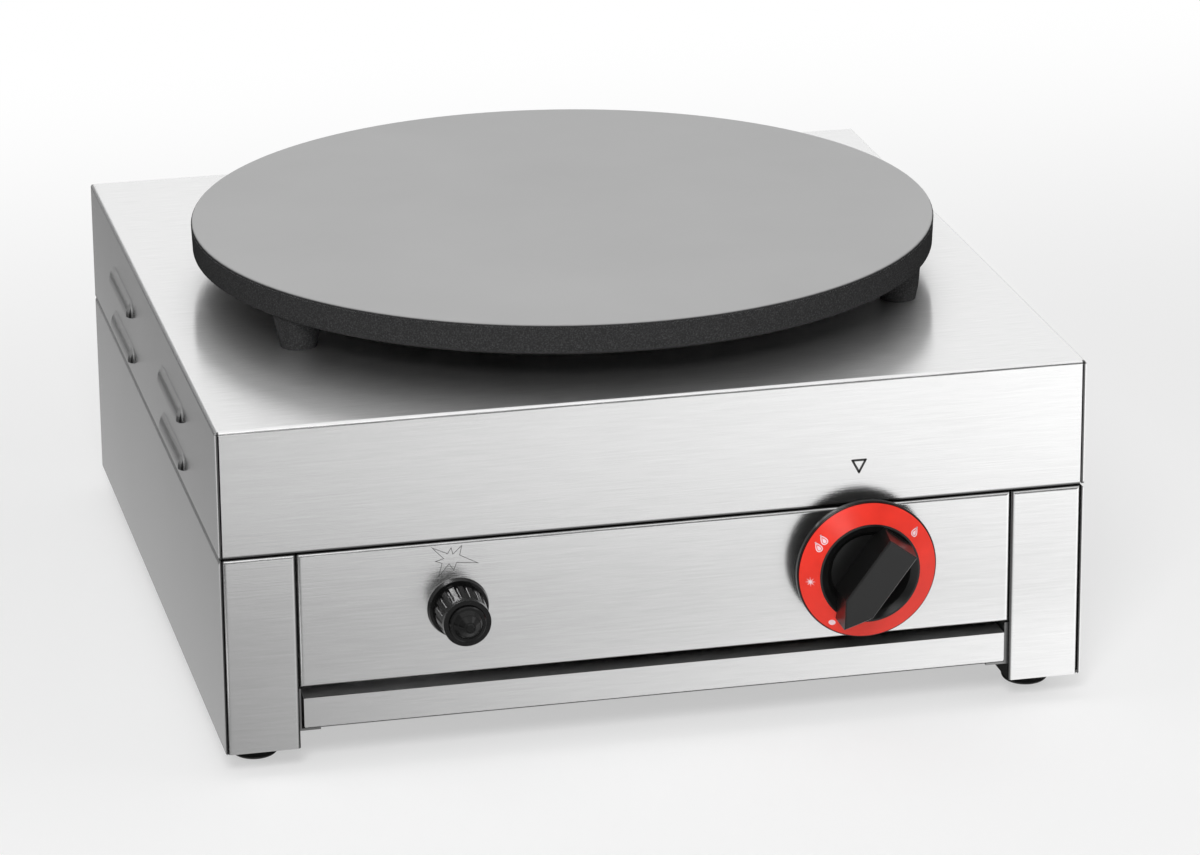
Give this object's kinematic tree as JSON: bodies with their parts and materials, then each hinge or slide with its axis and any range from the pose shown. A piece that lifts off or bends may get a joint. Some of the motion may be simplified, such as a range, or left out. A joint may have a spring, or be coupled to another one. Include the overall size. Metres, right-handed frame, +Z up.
{
  "type": "gas crepe maker",
  "caption": "Gas crepe maker with a round cast-iron griddle over a star burner in a brushed stainless casing, with a slide-out tray, a push-and-turn gas knob and a push-button igniter",
  "frame": {"origin": "On the table, under the middle of the casing: the plane of the four feet's lower faces, at the centre of the overall box.", "axes": "+Z up; -Y towards the front with the knob, the igniter and the tray; +X to the user's right as they face the front."},
  "size_m": [0.458, 0.5175, 0.2195],
  "materials": {
    "stainless": "brushed stainless sheet, fine straight grain",
    "frame_steel": "plain rolled steel, slightly dull",
    "enamelled_iron": "machined and enamelled cast iron, satin dark grey",
    "foot_rubber": "moulded black rubber, matt",
    "lead_rubber": "silicone-covered lead, matt",
    "black_plastic": "moulded black plastic, glossy",
    "dial_red": "printed red dial ring, smooth",
    "brass": "turned brass",
    "copper": "drawn copper tube",
    "white_ceramic": "smooth white insulator ceramic"
  },
  "bodies": {
    "casing": {"hood": "stainless", "side_panel_left": "stainless", "side_panel_right": "stainless", "front_post_left": "stainless", "front_post_right": "stainless", "control_panel": "stainless", "rear_panel": "stainless", "inner_frame": "frame_steel", "heat_shield": "frame_steel", "tray_runner_left": "stainless", "tray_runner_right": "stainless", "foot_front_left": "foot_rubber", "foot_front_right": "foot_rubber", "foot_rear_left": "foot_rubber", "foot_rear_right": "foot_rubber", "foot_screws": "frame_steel", "foot_nuts": "frame_steel", "griddle_plate": "enamelled_iron", "plate_bolts": "stainless", "plate_washers": "stainless", "burner": "frame_steel", "mixing_tube": "frame_steel", "air_shutter": "stainless", "injector": "brass", "burner_bracket": "frame_steel", "tube_saddle": "frame_steel", "burner_screws": "stainless", "gas_tap": "brass", "tap_spring": "stainless", "tap_screws": "stainless", "gas_inlet": "brass", "inlet_locknut": "brass", "supply_pipe": "copper", "burner_pipe": "copper", "pipe_nuts": "brass", "thermocouple": "copper", "spark_electrode": "white_ceramic", "electrode_bracket": "stainless", "ignition_lead": "lead_rubber", "igniter_body": "black_plastic", "igniter_nut": "black_plastic", "igniter_spring": "stainless", "panel_screws": "stainless", "rear_screws": "stainless", "hood_screws": "stainless"},
    "tray": {"drip_tray": "stainless"},
    "push_washer": {"spindle_washer": "stainless"},
    "knob": {"tap_spindle": "brass", "knob": "black_plastic", "dial_ring": "dial_red"},
    "igniter_button": {"igniter_button": "black_plastic"}
  },
  "joints": [
    {"name": "tray_slide", "type": "slide", "parent": "casing", "child": "tray", "axis": [0, -1, 0], "range_m": [0, 0.3]},
    {"name": "knob_push", "type": "slide", "parent": "casing", "child": "push_washer", "axis": [0, 1, 0], "range_m": [0, 0.0035], "stiffness_N_per_m": 800, "springref_m": -0.004, "deforming": ["tap_spring"]},
    {"name": "knob_turn", "type": "hinge", "parent": "push_washer", "child": "knob", "pos_m": [0.1065, -0.23, 0.087], "axis": [0, -1, 0], "range_deg": [-144, 53]},
    {"name": "igniter_push", "type": "slide", "parent": "casing", "child": "igniter_button", "axis": [0, 1, 0], "range_m": [0, 0.005], "stiffness_N_per_m": 1500, "springref_m": -0.003, "deforming": ["igniter_spring"]}
  ]
}
